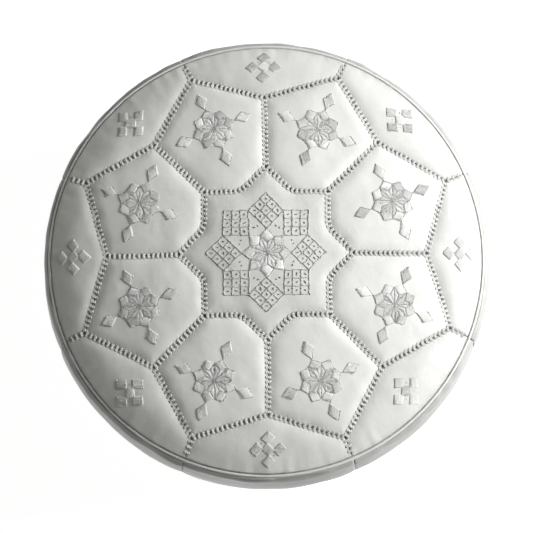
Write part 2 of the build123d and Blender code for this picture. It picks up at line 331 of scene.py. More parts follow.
def lay_leather(node, verts, faces, material, wear_and_shade):
    """Leather with its thickness, in place of a CAD panel."""
    return put(node + "_leather", verts, faces, material, replaces=(node,), wear_and_shade=wear_and_shade,
               thickness=LEATHER)


def sweep(plan, heights, sides, section, taper):
    """Closed strands along plan points (strands, steps, 2) at heights (strands, steps).

    The section (k, 2) spreads along each strand's plan direction in sides (strands, 2) and upwards.
    Returns points, faces and UVs, with U along a strand and V round it.
    """
    (count, steps, _), k = plan.shape, len(section)
    section = section * taper[:, None, None]
    spread = plan[:, :, None] + sides[:, None, None] * section[:, :, :1]
    level = heights[:, :, None, None] + section[:, :, 1:]
    verts = np.concatenate([spread, level], -1).reshape(-1, 3)
    first = np.arange(count) * steps * k
    quads = (first[:, None, None] + grid(steps, k, round_columns=True)).reshape(-1, 4).tolist()
    caps = [list(range(f + k - 1, f - 1, -1)) for f in first]
    caps += [list(range(f + (steps - 1) * k, f + steps * k)) for f in first]
    u = np.broadcast_to(np.linspace(0, 1, steps)[:, None], (count, steps, k))
    v = np.broadcast_to(np.linspace(0, 1, k, endpoint=False), (count, steps, k))
    return verts, quads + caps, np.stack([u.ravel(), v.ravel()], 1)


def oval(width, height, k, power=1.0):
    """A thread's cross-section: an ellipse, or something squarer with a power below 1."""
    angles = np.linspace(0, 2 * math.pi, k, endpoint=False)
    unit_circle = np.stack([np.cos(angles), np.sin(angles)], 1)
    return np.sign(unit_circle) * np.abs(unit_circle) ** power * (width / 2, height / 2)


# ---- Materials ----

class Nodes:
    """A short way to wire a node material."""

    def __init__(self, name):
        self.material = bpy.data.materials.new(name)
        self.material.use_nodes = True
        self.tree = self.material.node_tree
        self.shader = self.tree.nodes["Principled BSDF"]
        self.coords = self.add("ShaderNodeTexCoord")

    def add(self, kind, **values):
        node = self.tree.nodes.new(kind)
        for key, value in values.items():
            if key in node.inputs:
                node.inputs[key].default_value = value
            else:
                setattr(node, key, value)
        return node

    def wire(self, output, socket):
        self.tree.links.new(output, socket)

    def texture(self, kind, scale, **values):
        node = self.add(kind, **values)
        node.inputs["Scale"].default_value = scale
        self.wire(self.coords.outputs["Object"], node.inputs["Vector"])
        return node

    def clouds(self, scale, **values):
        return self.texture("ShaderNodeTexNoise", scale, **values).outputs["Fac"]

    def math(self, operation, a, b=0.0, clamp=False):
        node = self.add("ShaderNodeMath", operation=operation, use_clamp=clamp)
        for socket, value in zip(node.inputs, (a, b)):
            if isinstance(value, (int, float)):
                socket.default_value = value
            else:
                self.wire(value, socket)
        return node.outputs[0]

    def spread(self, value, low, high, to_low=0.0, to_high=1.0):
        node = self.add("ShaderNodeMapRange")
        self.wire(value, node.inputs["Value"])
        limits = {"From Min": low, "From Max": high, "To Min": to_low, "To Max": to_high}
        for key, number in limits.items():
            node.inputs[key].default_value = number
        return node.outputs["Result"]

    def mix(self, factor, a, b):
        node = self.add("ShaderNodeMix", data_type="RGBA")
        self.wire(factor, node.inputs["Factor"])
        for key, value in ((6, a), (7, b)):
            if isinstance(value, tuple):
                node.inputs[key].default_value = (*value, 1)
            else:
                self.wire(value, node.inputs[key])
        return node.outputs[2]

    def bump(self, height, depth, strength=1.0, below=None):
        node = self.add("ShaderNodeBump", Strength=strength, Distance=depth * MM)
        self.wire(height, node.inputs["Height"])
        if below is not None:
            self.wire(below, node.inputs["Normal"])
        return node.outputs["Normal"]

    def finish(self, colour, roughness, normal, **constants):
        for value, key in ((colour, "Base Color"), (roughness, "Roughness"), (normal, "Normal")):
            if isinstance(value, tuple):
                self.shader.inputs[key].default_value = (*value, 1)
            elif isinstance(value, float):
                self.shader.inputs[key].default_value = value
            elif value is not None:
                self.wire(value, self.shader.inputs[key])
        for key, value in constants.items():
            self.shader.inputs[key.replace("_", " ")].default_value = value
        return self.material


def leather(name, light, dark, grime_and_shade, roughness, crease=1.0):
    """Fine-grained white leather: pebbled grain, pores, hair creases, and a darker soiled colour where
    wear_and_shade says, mostly painted shade in seams, creases and grooves.
    """
    n = Nodes(name)
    tone = n.clouds(9.0, Detail=4.0, Roughness=0.6)
    colour = n.mix(n.spread(tone, 0.35, 0.65), light, dark)
    wear_and_shade = n.add("ShaderNodeAttribute", attribute_name="wear_and_shade").outputs["Fac"]
    blotch = n.clouds(160.0, Detail=3.0)
    dirt_and_shade = n.math("MULTIPLY", wear_and_shade, n.spread(blotch, 0.3, 0.7, 0.55, 1.0), clamp=True)
    colour = n.mix(dirt_and_shade, colour, grime_and_shade)

    grain = n.texture("ShaderNodeTexVoronoi", 700.0, feature="SMOOTH_F1", Randomness=1.0)
    pores = n.clouds(2600.0, Detail=2.0)
    fold = n.clouds(70.0, Detail=5.0, Distortion=0.8)
    line = n.math("ABSOLUTE", n.math("SUBTRACT", fold, 0.5))
    soft = n.clouds(28.0, Detail=3.0)
    normal = n.bump(soft, 1.2, 0.5 * crease)
    normal = n.bump(n.spread(line, 0.0, 0.02), 0.12, 0.35 * crease, normal)
    normal = n.bump(grain.outputs["Distance"], 0.10, 0.55, normal)
    normal = n.bump(pores, 0.04, 0.4, normal)
    rough = n.math("ADD", n.spread(tone, 0.3, 0.7, roughness - 0.05, roughness + 0.06),
                   n.math("MULTIPLY", dirt_and_shade, 0.2))
    return n.finish(colour, rough, normal, Coat_Weight=0.12, Coat_Roughness=0.35)


def twisted_thread(name, light, dark, shade, roughness, plies, slant, gloss=0.5):
    """Thread whose plies show as slanting ridges; U runs along a strand and V round it.

    Its light tone gives way to the shade colour where the wear_and_shade attribute says: painted shade at
    the ends of seam stitches and on drawn lines, painted sheen over satin blocks.
    """
    n = Nodes(name)
    light = n.mix(n.add("ShaderNodeAttribute", attribute_name="wear_and_shade").outputs["Fac"], light, shade)
    split = n.add("ShaderNodeSeparateXYZ")
    n.wire(n.coords.outputs["UV"], split.inputs[0])
    turns = n.math("MULTIPLY", split.outputs[0], plies)
    phase = n.math("ADD", turns, n.math("MULTIPLY", split.outputs[1], slant))
    ridge = n.math("ABSOLUTE", n.math("SINE", n.math("MULTIPLY", phase, math.pi)))
    fibre = n.clouds(1500.0, Detail=3.0)
    normal = n.bump(ridge, 0.25, 0.8)
    normal = n.bump(fibre, 0.05, 0.5, normal)
    flecks = n.spread(fibre, 0.3, 0.7, 0.85, 1.0)
    # The grooves between plies take the dark colour: painted shade.
    tone = n.math("MULTIPLY", n.spread(ridge, 0.0, 0.5, 0.6, 1.0), flecks)
    return n.finish(n.mix(tone, dark, light), roughness, normal, Sheen_Weight=0.15, Sheen_Roughness=0.4,
                    Specular_IOR_Level=gloss)


def woven(name, light, dark, thread, roughness):
    """Plain weave from two crossed waves, with threads this wide."""
    n = Nodes(name)
    waves = [n.texture("ShaderNodeTexWave", 0.5 / (thread * MM), bands_direction=axis) for axis in "XY"]
    weave = n.math("MULTIPLY", *(wave.outputs["Fac"] for wave in waves))
    slub = n.clouds(300.0, Detail=4.0)
    shade = n.math("MULTIPLY", weave, n.spread(slub, 0.3, 0.7, 0.6, 1.0))
    return n.finish(n.mix(shade, dark, light), roughness, n.bump(weave, 0.15, 0.7), Sheen_Weight=0.1)


def plastic(name, colour, dark, roughness):
    n = Nodes(name)
    cloud = n.clouds(400.0, Detail=3.0)
    tint = n.mix(n.spread(cloud, 0.3, 0.7), colour, dark)
    return n.finish(tint, roughness, n.bump(cloud, 0.03, 0.4))


def metal(name, bright, dull):
    """Nickel plate with fine scratches and a slightly dulled tone in patches."""
    n = Nodes(name)
    patch = n.clouds(250.0, Detail=5.0)
    scratch = n.clouds(900.0, Detail=2.0, Distortion=4.0)
    tint = n.mix(n.spread(patch, 0.4, 0.65), bright, dull)
    rough = n.spread(patch, 0.3, 0.7, 0.18, 0.38)
    return n.finish(tint, rough, n.bump(scratch, 0.02, 0.3), Metallic=1.0)


def fibre(name, light, dark):
    n = Nodes(name)
    tuft = n.clouds(120.0, Detail=8.0, Distortion=2.0)
    return n.finish(n.mix(tuft, dark, light), 0.9, n.bump(tuft, 1.0, 0.8))


TOP_LEATHER = leather("top_leather", (0.70, 0.70, 0.685), (0.66, 0.66, 0.645), (0.34, 0.34, 0.32), 0.42)
# The sides and foot piping are the same white hide as the top, coloured darker: painted shade.
SHADED_SIDE_LEATHER = leather("side_leather", (0.39, 0.39, 0.38), (0.355, 0.355, 0.345), (0.30, 0.30, 0.28),
                       0.44, crease=1.3)
BASE_LEATHER = leather("base_leather", (0.66, 0.655, 0.63), (0.59, 0.58, 0.55), (0.34, 0.33, 0.30),
                       0.52, crease=1.2)
# Its shade colour is painted shade at the ends of the stitches.
SEAM_THREAD = twisted_thread("seam_thread", (0.575, 0.575, 0.56), (0.44, 0.44, 0.425), (0.30, 0.30, 0.29),
                             0.75, plies=3.0, slant=2.0)
# Its shade colour is painted sheen: darker satin blocks stand in for the way light catches thread laid in
# different directions.
SATIN_THREAD = twisted_thread("satin_thread", (0.79, 0.79, 0.775), (0.62, 0.62, 0.61), (0.47, 0.47, 0.46),
                              0.4, plies=10.0, slant=1.0, gloss=0.85)
# Grey thread for the drawn lines, darker for the knots: painted shadow, for white thread sunk into the
# leather.
SHADOW_LINE_THREAD = twisted_thread("shadow_line_thread", (0.60, 0.60, 0.585), (0.30, 0.30, 0.29), (0.14, 0.14, 0.135),
                             0.6, plies=12.0, slant=1.0)
TAPE_WEAVE = woven("tape_weave", (0.76, 0.75, 0.72), (0.52, 0.51, 0.48), 0.55, 0.8)
LINER_WEAVE = woven("liner_weave", (0.62, 0.60, 0.55), (0.40, 0.38, 0.34), 0.8, 0.9)
CORD_WEAVE = woven("cord_weave", (0.72, 0.70, 0.64), (0.45, 0.43, 0.38), 1.0, 0.9)
COIL_PLASTIC = plastic("coil_plastic", (0.74, 0.73, 0.70), (0.64, 0.63, 0.60), 0.35)
NICKEL = metal("nickel", (0.78, 0.77, 0.75), (0.55, 0.54, 0.52))
STUFFING = fibre("stuffing_fibre", (0.80, 0.79, 0.76), (0.60, 0.59, 0.56))


# ---- Top panels ----

def star_corners():
    radii = [STAR_TIP_R, STAR_NOTCH_R] * FOLDS
    return np.array([polar(radius, i * HALF) for i, radius in enumerate(radii)])


def kite_corners():
    return np.array([polar(STAR_NOTCH_R, 0), polar(STAR_TIP_R, -HALF), polar(VEE_R, -HALF), polar(PEAK_R, 0),
                     polar(VEE_R, HALF), polar(STAR_TIP_R, HALF)])


def edge_outline():
    """Between two kites and the piping: a vee inwards, two short radial sides and the rim's arc."""
    corners = inset(np.array([polar(VEE_R, 0), polar(PEAK_R, -HALF), polar(RIM_R, -HALF),
                              polar(RIM_R, HALF), polar(PEAK_R, HALF)]), SEAM_HALF_GAP)
    start = math.degrees(math.asin(SEAM_HALF_GAP / PANEL_RIM_R))
    arc = [polar(PANEL_RIM_R, a) for a in np.linspace(start - HALF, HALF - start, 60)]
    cuts = [CORNER_ROUNDING] * 2 + [TIP_ROUNDING] + [0] * (len(arc) - 2) + [TIP_ROUNDING, CORNER_ROUNDING]
    return soften(np.array([corners[0], corners[1], *arc, corners[4]]), cuts)


def seam_paths():
    """Every stitched seam of the top as an open path, by family."""
    star = soften(star_corners(), [0, NOTCH_ROUNDING] * FOLDS)
    per_stretch = len(star) // FOLDS
    families = {"star": [], "spoke": [], "zigzag": [], "rim": []}
    for k in range(FOLDS):
        stretch = np.arange(per_stretch + 1) + k * per_stretch
        families["star"].append(star[stretch % len(star)])
        families["spoke"].append(np.array([polar(STAR_TIP_R, k * STEP), polar(VEE_R, k * STEP)]))
        peak = polar(PEAK_R, (k + 0.5) * STEP)
        families["zigzag"].append(np.array([polar(VEE_R, k * STEP), peak]))
        families["zigzag"].append(np.array([peak, polar(VEE_R, (k + 1) * STEP)]))
        families["rim"].append(np.array([peak, polar(RIM_R - PIPING_R, (k + 0.5) * STEP)]))
    return families


SEAMS = seam_paths()
JUNCTIONS = np.array([polar(radius, (k + turned) * STEP) for k in range(FOLDS)
                      for radius, turned in ((STAR_TIP_R, 0), (VEE_R, 0), (PEAK_R, 0.5))])


def junction_depth(points):
    """How far each point is into one of the small dents where three or more panels meet, from 0 to 1."""
    gaps = np.linalg.norm(points[:, None] - JUNCTIONS[None], axis=2).min(1)
    return np.exp(-(gaps / DENT_REACH) ** 2)


def stitch_places(path):
    """Where the stitches cross the seam, as distances along it."""
    spare = path_length(path) - 2 * STITCH_MARGIN
    count = max(2, round(spare / STITCH_PITCH))
    return STITCH_MARGIN + (np.arange(count) + 0.5) / count * spare


def pucker(points):
    """How far the stitches pull the leather down at each point near a seam."""
    pulled = np.zeros(len(points))
    for path in sum(SEAMS.values(), []):
        near = np.linalg.norm(points - path.mean(0), axis=1) < path_length(path) / 2 + 12
        if not near.any():
            continue
        places = stitch_places(path)
        marks = np.linspace(0, path_length(path), 5 * len(places) + 1)
        line, _ = along(path, marks)
        gap = np.linalg.norm(points[near][:, None, :] - line[None], axis=2)
        phase = (marks[gap.argmin(1)] - places[0]) / (places[1] - places[0])
        closeness = np.exp(-np.abs(gap.min(1) - STITCH_REACH) / PULL_REACH)
        pulled[near] += STITCH_PULL * np.cos(2 * math.pi * phase) * closeness
    return pulled


WRINKLES = ((0.9, 42), (0.38, 17), (0.09, 6))


def soft_wrinkles(points, seed):
    """Broad, middling and small unevenness of stuffed leather."""
    return sum(height * noise(points, cell, seed + i) for i, (height, cell) in enumerate(WRINKLES))


def rim_gathers(points, from_rim, seed):
    """Shallow radial puckers where the edge panels were gathered into the piping."""
    turns = np.arctan2(points[:, 1], points[:, 0]) * RIM_R
    waves = noise(np.column_stack([turns, 0.12 * from_rim]), 8, seed)
    return 0.5 * waves * np.exp(-from_rim / 15) * (1 - np.exp(-np.maximum(from_rim, 0) / 2))


def hand_laid(xy):
    """The small drift of hand-cut panels and hand-drawn motifs from the true pattern."""
    fade = np.clip((RIM_R - np.linalg.norm(xy, axis=-1)) / DRIFT_FADE, 0, 1)[:, None]
    drift = np.column_stack([noise(xy, DRIFT_CELL, 501), noise(xy, DRIFT_CELL, 502)]) * HAND_DRIFT
    return xy + drift * fade


def top_shape(kind, outline):
    """Points, triangles, fill height and edge distance of one kind of top panel, seen in plan."""
    points, faces, distance = fill(outline, FINE_STEP, COARSE_STEP, FINE_BAND)
    height = stuffed(points, faces, distance, PUFF_REACH)
    return kind, points, faces, height, distance


def lay_panel(node, shape, angle, seed):
    """Lays one kind of top panel at its angle, with its own wrinkles; returns its points and triangles."""
    kind, plan, faces, height, distance = shape
    points = turn(plan, angle)
    from_rim = PANEL_RIM_R - np.linalg.norm(points, axis=1)
    inward = np.clip(from_rim / RIM_SLOPE, 0, 1)
    dent = junction_depth(points)
    lift = PUFF[kind] * height + ROLL[kind] * (1 - np.exp(-(distance / ROLL_REACH) ** 2))
    lift *= np.sin(inward * math.pi / 2)
    lift += SEAM_SINK - RIM_DROP * (1 - inward) ** 2 - SEAM_CURL * np.exp(-distance / CURL_WIDTH)
    lift -= RIM_TUCK * np.exp(-from_rim / 0.5)
    lift += soft_wrinkles(points, seed) * height - pucker(points) + rim_gathers(points, from_rim, seed + 3)
    lift -= JUNCTION_DENT * dent
    points = hand_laid(points)
    verts = np.column_stack([points, dome_z(points) + lift])
    # Painted shade: a dark band along each seam under its stitches, a softer darkening near the seams, more
    # in the dents where panels meet, a dark line in the groove at the rim, and each kind's even darker tone.
    wear_and_shade = SEAM_SHADE * np.exp(-(distance / SEAM_SHADE_REACH) ** 6) * (from_rim > 3)
    wear_and_shade += 0.1 * np.exp(-distance / 7) + 0.1 * dent + np.exp(-(from_rim / 1.2) ** 2) + PANEL_SHADE[kind]
    piece = lay_leather(node, verts, faces, TOP_LEATHER, wear_and_shade)
    return verts, faces


def top_panels():
    """Lays every panel of the top and returns their skin as a tree to drop points on."""
    star_cuts = [TIP_ROUNDING, NOTCH_ROUNDING] * FOLDS
    kite_cuts = [NOTCH_ROUNDING] + [CORNER_ROUNDING] * 5
    star = top_shape("star", soften(inset(star_corners(), SEAM_HALF_GAP), star_cuts))
    kite = top_shape("kite", soften(inset(kite_corners(), SEAM_HALF_GAP), kite_cuts))
    edge = top_shape("edge", edge_outline())
    surfaces = [lay_panel("top_star_panel", star, 0, 11)]
    for k in range(FOLDS):
        surfaces.append(lay_panel(f"top_kite_panel_{k + 1}", kite, (k + 0.5) * STEP, 20 + 5 * k))
        surfaces.append(lay_panel(f"top_edge_panel_{k + 1}", edge, k * STEP, 70 + 5 * k))
    verts, faces = zip(*surfaces)
    starts = np.cumsum([0] + [len(v) for v in verts[:-1]])
    faces = np.concatenate([f + start for f, start in zip(faces, starts)])
    return BVHTree.FromPolygons(np.concatenate(verts).tolist(), faces.tolist())


top_tree = top_panels()


def surface(xy):
    """Height of the leather under each point, or of the bare seam where there is none."""
    heights = dome_z(xy) + SEAM_SINK
    for i, (x, y) in enumerate(xy):
        hit = top_tree.ray_cast(Vector((x, y, CROWN_Z + 50)), Vector((0, 0, -1)))
        if hit[0] is not None:
            heights[i] = hit[0].z
    return heights


# ---- Hand stitching ----

def stitches(paths):
    """Thick whip stitches over a family of seams, each dipping into the leather at both ends."""
    spots, across, lengthwise = [], [], []
    for path in paths:
        places = stitch_places(path)
        count = len(places)
        places = places + rng.normal(0, STITCH_WANDER, count)
        middle, direction = along(path, places)
        slant = rng.normal(0, STITCH_SLANT, count)
        direction = unit(direction + left_of(direction) * slant[:, None])
        spots.append(middle)
        lengthwise.append(direction)
        across.append(left_of(direction))
    spots, across, lengthwise = (np.concatenate(part) for part in (spots, across, lengthwise))
    spots = hand_laid(spots)
    steps = np.linspace(-1, 1, 11)
    reach = STITCH_REACH * rng.normal(1, 0.03, len(spots))
    plan = spots[:, None, :] + across[:, None, :] * (steps[None, :, None] * reach[:, None, None])
    share = ((steps + 1) / 2)[None, :]
    level = surface(plan[:, 0])[:, None] * (1 - share) + surface(plan[:, -1])[:, None] * share
    arch = STITCH_HEIGHT / 2 * (0.5 - np.abs(steps) ** 6)[None, :]
    taper = 1 - 0.2 * np.abs(steps) ** 7
    return sweep(plan, level + arch, lengthwise, oval(STITCH_WIDTH, STITCH_HEIGHT, 12, 0.6), taper)


for family, paths in SEAMS.items():
    verts, faces, uv = stitches(paths)
    # The stitches darken towards both ends, where they dive into the leather: painted shade.
    put(family + "_seam_stitches", verts, faces, SEAM_THREAD,
        replaces=(family + "_seam_stitching",), uv=uv, wear_and_shade=0.6 * np.abs(2 * uv[:, 0] - 1) ** 3)


# ---- Embroidery ----

SATIN_PITCH = 0.75      # from strand to strand
SATIN_HEIGHT = 0.52
SATIN_MARGIN = 0.15     # a strand stops this far inside its outline
SHORTEST_STRAND = 0.8
ROSETTE_R = 154.0       # from the axis to a rosette's middle
# Radii of a rosette's star: petal tip, notch between petals, point of a block.
ROSETTE_TIP, ROSETTE_NOTCH, ROSETTE_POINT = 19.8, 12.2, 24.7
# Its four diamonds: near end, widest place, far end, half width.
DIAMOND_NEAR, DIAMOND_SIDE, DIAMOND_FAR, DIAMOND_HALF = 26.2, 36.8, 47.0, 7.0
CENTRE_R = 67.0         # corners of the centre motif
MARK_R = 31.5           # its pairs of small crosses
EDGE_MOTIF_R = 217.5
EDGE_PITCH = 12.8
EDGE_HALF_LENGTH, EDGE_HALF_WIDTH = 7.6, 8.0
LINE_WIDTH = 0.9
LINE_HEIGHT = 0.5
BACKSTITCH = 4.6        # the longest stitch of a drawn line
MARK_LENGTH = 4.7       # strokes up to this length are single knots, in the darkest painted shadow
HAND_JITTER = 0.3       # of the corners of a motif
STITCH_JITTER = 0.12    # and of the ends of each small stitch
STRAND_STEPS = 7


def satin(outline, direction):
    """Parallel thread across a convex outline, as plan ends (strands, 2, 2)."""
    flat = turn(outline, -direction)
    low, high = flat[:, 1].min(), flat[:, 1].max()
    count = max(2, round((high - low) / SATIN_PITCH))
    strands = []
    for y in low + (np.arange(count) + 0.5) * (high - low) / count:
        xs = [a[0] + (b[0] - a[0]) * (y - a[1]) / (b[1] - a[1])
              for a, b in edges(flat) if (a[1] > y) != (b[1] > y)]
        if len(xs) == 2 and abs(xs[0] - xs[1]) > SHORTEST_STRAND:
            strands.append([(min(xs) + SATIN_MARGIN, y), (max(xs) - SATIN_MARGIN, y)])
    return turn(np.array(strands), direction) if strands else np.zeros((0, 2, 2))


def strand_mesh(ends, width, height):
    """Thread laid on the leather from end to end, rising out of it and back into it."""
    t = (1 - np.cos(np.linspace(0, math.pi, STRAND_STEPS))) / 2
    plan = ends[:, None, 0] * (1 - t[None, :, None]) + ends[:, None, 1] * t[None, :, None]
    level = surface(plan.reshape(-1, 2)).reshape(plan.shape[:2])
    length = np.linalg.norm(ends[:, 1] - ends[:, 0], axis=1)
    full = np.clip(length / 5, 0.45, 1)[:, None] * height
    crown = full * (1 - np.abs(2 * t - 1) ** 9)[None, :] - 0.25 * height
    taper = 1 - 0.3 * np.abs(2 * t - 1) ** 6
    return sweep(plan, level + crown, left_of(unit(ends[:, 1] - ends[:, 0])), oval(width, width, 6), taper)


def petals(point):
    """The eight-petalled star and its ring of blocks: blocks with their thread directions, then lines."""
    tip, notch = ROSETTE_TIP, ROSETTE_NOTCH
    shapes, lines = [], []
    for k in range(FOLDS):
        at = (k + 0.5) * STEP
        lines.append((polar(0, 0), polar(tip, at)))
        for side in (-1, 1):
            between = at + side * HALF
            outline = np.array([polar(0.5, at), polar(tip, at), polar(notch, between)])
            shapes.append((outline, at + side * HALF / 2 + 90))
            lines.append((polar(notch, between), polar(tip, at)))
            lines.append((polar(tip, at), polar(point, between)))
        block = np.array([polar(notch + 0.4, k * STEP), polar(tip, (k - 0.5) * STEP), polar(point, k * STEP),
                          polar(tip, at)])
        shapes.append((block, k * STEP + (62 if k % 2 else -62)))
    return shapes, lines


def diamond_outline(centre, half_along, half_across):
    return np.array([(-half_along, 0), (0, -half_across), (half_along, 0), (0, half_across)]) + centre


def rosette():
    """The star with a diamond on a stem at each of its four corners, as blocks and drawn lines."""
    shapes, lines = petals(ROSETTE_POINT)
    diamond = np.array([(DIAMOND_NEAR, 0), (DIAMOND_SIDE, -DIAMOND_HALF), (DIAMOND_FAR, 0),
                        (DIAMOND_SIDE, DIAMOND_HALF)])
    stem = np.array([(ROSETTE_POINT - 0.5, 0), (DIAMOND_NEAR + 0.5, 0)])
    for angle in (0, 90, 180, 270):
        shapes.append((turn(diamond, angle), angle + 58))
        lines += [tuple(turn(line, angle)) for line in (stem, diamond[:2], diamond[2:])]
    return shapes, lines


def centre_motif():
    """A star in a ring of eight chequered squares, with a pair of small crosses between each two."""
    inner = CENTRE_R * math.tan(math.radians(HALF))
    shapes, lines = petals(inner)
    cell = (CENTRE_R - inner) / math.sqrt(2) / 3

    def stroke(middle, reach, degrees):
        lines.append((middle - polar(reach, degrees), middle + polar(reach, degrees)))

    for k in range(FOLDS):
        corner = polar(inner, k * STEP)
        a, b = polar(cell, k * STEP - 45), polar(cell, k * STEP + 45)
        for i, j in np.ndindex(4, 3):
            lines.append((corner + a * i + b * j, corner + a * i + b * (j + 1)))
            lines.append((corner + b * i + a * j, corner + b * i + a * (j + 1)))
        for i, j in np.ndindex(3, 3):
            middle = corner + a * (i + 0.5) + b * (j + 0.5)
            slope = rng.choice([0, 45, 90, 135]) + rng.normal(0, 12)
            for length, lean in ((rng.uniform(1.3, 2.2), 0), (rng.uniform(0.7, 1.2), rng.uniform(50, 90))):
                stroke(middle, length, slope + lean)
        for i, j in np.ndindex(4, 4):
            stroke(corner + a * i + b * j, rng.uniform(0.7, 1.3), rng.uniform(0, 180))
        for offset in (-2.2, 2.2):
            spot = polar(MARK_R, (k + 0.5) * STEP) + offset * polar(1, (k + 0.5) * STEP + 90)
            stroke(spot, 1.2, k * STEP)
            stroke(spot, 1.2, k * STEP + 75)
    return shapes, lines


def edge_motif():
    """Five diamonds in a cross, with a knot in each gap between them."""
    shapes, lines = [], []
    for spot in np.array([(0, 0), (1, 0), (-1, 0), (0, 1), (0, -1)]) * EDGE_PITCH:
        direction = 40 if spot.any() else -40
        shapes.append((diamond_outline(spot, EDGE_HALF_LENGTH, EDGE_HALF_WIDTH), direction))
    for spot in np.array([(1, 1), (1, -1), (-1, 1), (-1, -1)]) * EDGE_PITCH / 2:
        lines.append((spot - (0.7, 0), spot + (0.7, 0)))
    return shapes, lines


def backstitched(line):
    """A drawn line as short stitches end to end, with a small gap between them."""
    start, end = line
    length = np.linalg.norm(end - start)
    cuts = np.linspace(0, 1, max(1, round(length / BACKSTITCH)) + 1)[:, None]
    points = start + (end - start) * cuts
    step = (end - start) / length * 0.25
    return [np.array((a + step, b - step)) for a, b in zip(points[:-1], points[1:])]


def embroider(name, motif, distance, angles, node, darkest, lightest=0.0):
    """Works a motif at each angle round the top: satin blocks in one piece, drawn lines in another."""
    shapes, lines = motif
    shift = np.array([distance, 0])
    blocks, strokes, shades, tones = [], [], [], []
    for angle in angles:
        for outline, direction in shapes:
            uneven = outline + rng.normal(0, HAND_JITTER, outline.shape)
            threads = satin(uneven, direction + rng.normal(0, 6))
            blocks.append(turn(threads + shift, angle))
            # Some blocks are darkened at random: painted sheen.
            shades.append(np.full(len(threads), lightest + (darkest - lightest) * rng.uniform() ** 2))
        for line in lines:
            length = np.linalg.norm(np.subtract(*line))
            uneven = np.array(line) + rng.normal(0, HAND_JITTER, (2, 2))
            for stitch in backstitched(uneven):
                strokes.append(turn(stitch + rng.normal(0, STITCH_JITTER, (2, 2)) + shift, angle))
                # Knots take the darkest tones of the painted shadow, lines lighter ones.
                tones.append(rng.uniform(0.75, 1) if length < MARK_LENGTH else rng.uniform(0, 0.6))
    shades = np.concatenate(shades)
    sew(name + "_embroidery", blocks, shades, SATIN_THREAD, SATIN_PITCH * 1.25, SATIN_HEIGHT, (node,))
    sew(name + "_lines", strokes, np.array(tones), SHADOW_LINE_THREAD, LINE_WIDTH, LINE_HEIGHT, ())


def sew(name, ends, shades, material, width, height, nodes):
    ends = np.concatenate([np.reshape(e, (-1, 2, 2)) for e in ends])
    ends = hand_laid(ends.reshape(-1, 2)).reshape(-1, 2, 2)
    verts, faces, uv = strand_mesh(ends, width, height)
    put(name, verts, faces, material, replaces=nodes, uv=uv,
        wear_and_shade=np.repeat(shades, len(verts) // len(ends)))


# The last numbers set how dark the satin's painted sheen may make a block; the edge motifs are all darkened
# somewhat.
embroider("centre", centre_motif(), 0, [0], "centre_embroidery", 0.3)
for k in range(FOLDS):
    angle = (k + 0.5) * STEP
    embroider(f"rosette_{k + 1}", rosette(), ROSETTE_R, [angle], f"rosette_embroidery_{k + 1}", 0.8)
embroider("edge", edge_motif(), EDGE_MOTIF_R, [k * STEP for k in range(FOLDS)], "edge_embroidery", 1.0, 0.45)


# ---- Piping ----

def ring_tube(tube, ring, z, turns, k, dents=None):
    """A closed tube round the axis with k sides, its radius scaled by dents(places, angles round it)."""
    a, b = np.meshgrid(np.linspace(0, 2 * math.pi, turns, endpoint=False),
                       np.linspace(0, 2 * math.pi, k, endpoint=False), indexing="ij")
    a, b = a.ravel(), b.ravel()
    places = np.column_stack([ring * np.cos(a), ring * np.sin(a), z + 0 * a])
    radius = tube * (dents(places, b) if dents else 1)
    out = ring + radius * np.cos(b)
    verts = np.column_stack([out * np.cos(a), out * np.sin(a), z + radius * np.sin(b)])
    return verts, grid(turns, k, round_rows=True, round_columns=True)[:, FLIPPED], b


def piping(name, tube, ring, z, material, seed):
    """A leather strip drawn round a cord, with small dents and slanting drag lines."""
    def dents(places, angles):
        return (1 + 0.05 * noise(places, 14, seed)
                + 0.025 * noise(places + 9 * angles[:, None], 5, seed + 1))

    verts, faces, angles = ring_tube(tube, ring, z, turns=900, k=14, dents=dents)
    # Painted shade: darker over the bead's inner half and along its innermost and outermost lines, where it
    # meets the leather beside it, with a slight even darkening all round.
    wear_and_shade = 0.4 * np.exp(-np.abs(np.sin(angles)) * 2.2) + 0.8 * np.clip(-np.cos(angles), 0, 1) + 0.08
    put(name + "_leather", verts, faces, material, replaces=(name,), wear_and_shade=wear_and_shade)
    verts, faces, _ = ring_tube(CORD_R, ring, z, turns=360, k=8)
    put(name + "_core", verts, faces, CORD_WEAVE, replaces=(name + "_cord",))


piping("top_piping", WELT_R, RIM_R + WELT_SHIFT, RIM_Z - WELT_DROP, TOP_LEATHER, 31)
piping("foot_piping", FOOT_TUBE, FOOT_R, FOOT_Z, SHADED_SIDE_LEATHER, 37)


# ---- Side panels ----

SIDE_PUFF = 2.0
SIDE_SINK = -1.4
SIDE_REACH = 9.0
SIDE_SEAM_DIP = 0.45    # the share of the puff that a side seam takes away
SIDE_COLUMNS = 110
SIDE_ROWS = 110         # in the plain middle of the profile
TOP_BAND, FOOT_BAND = 22.0, 10.0        # the finer rows by the piping
# Rolls (+) and dips (-) of the side leather under the top bead: height, distance down, half width.
TOP_ROLLS = ((-1.6, 3.0, 2.2), (2.6, 6.9, 2.4), (-0.6, 10.4, 1.4), (3.4, 16.5, 7.0))
CREASE_DOWN = TOP_ROLLS[2][1]


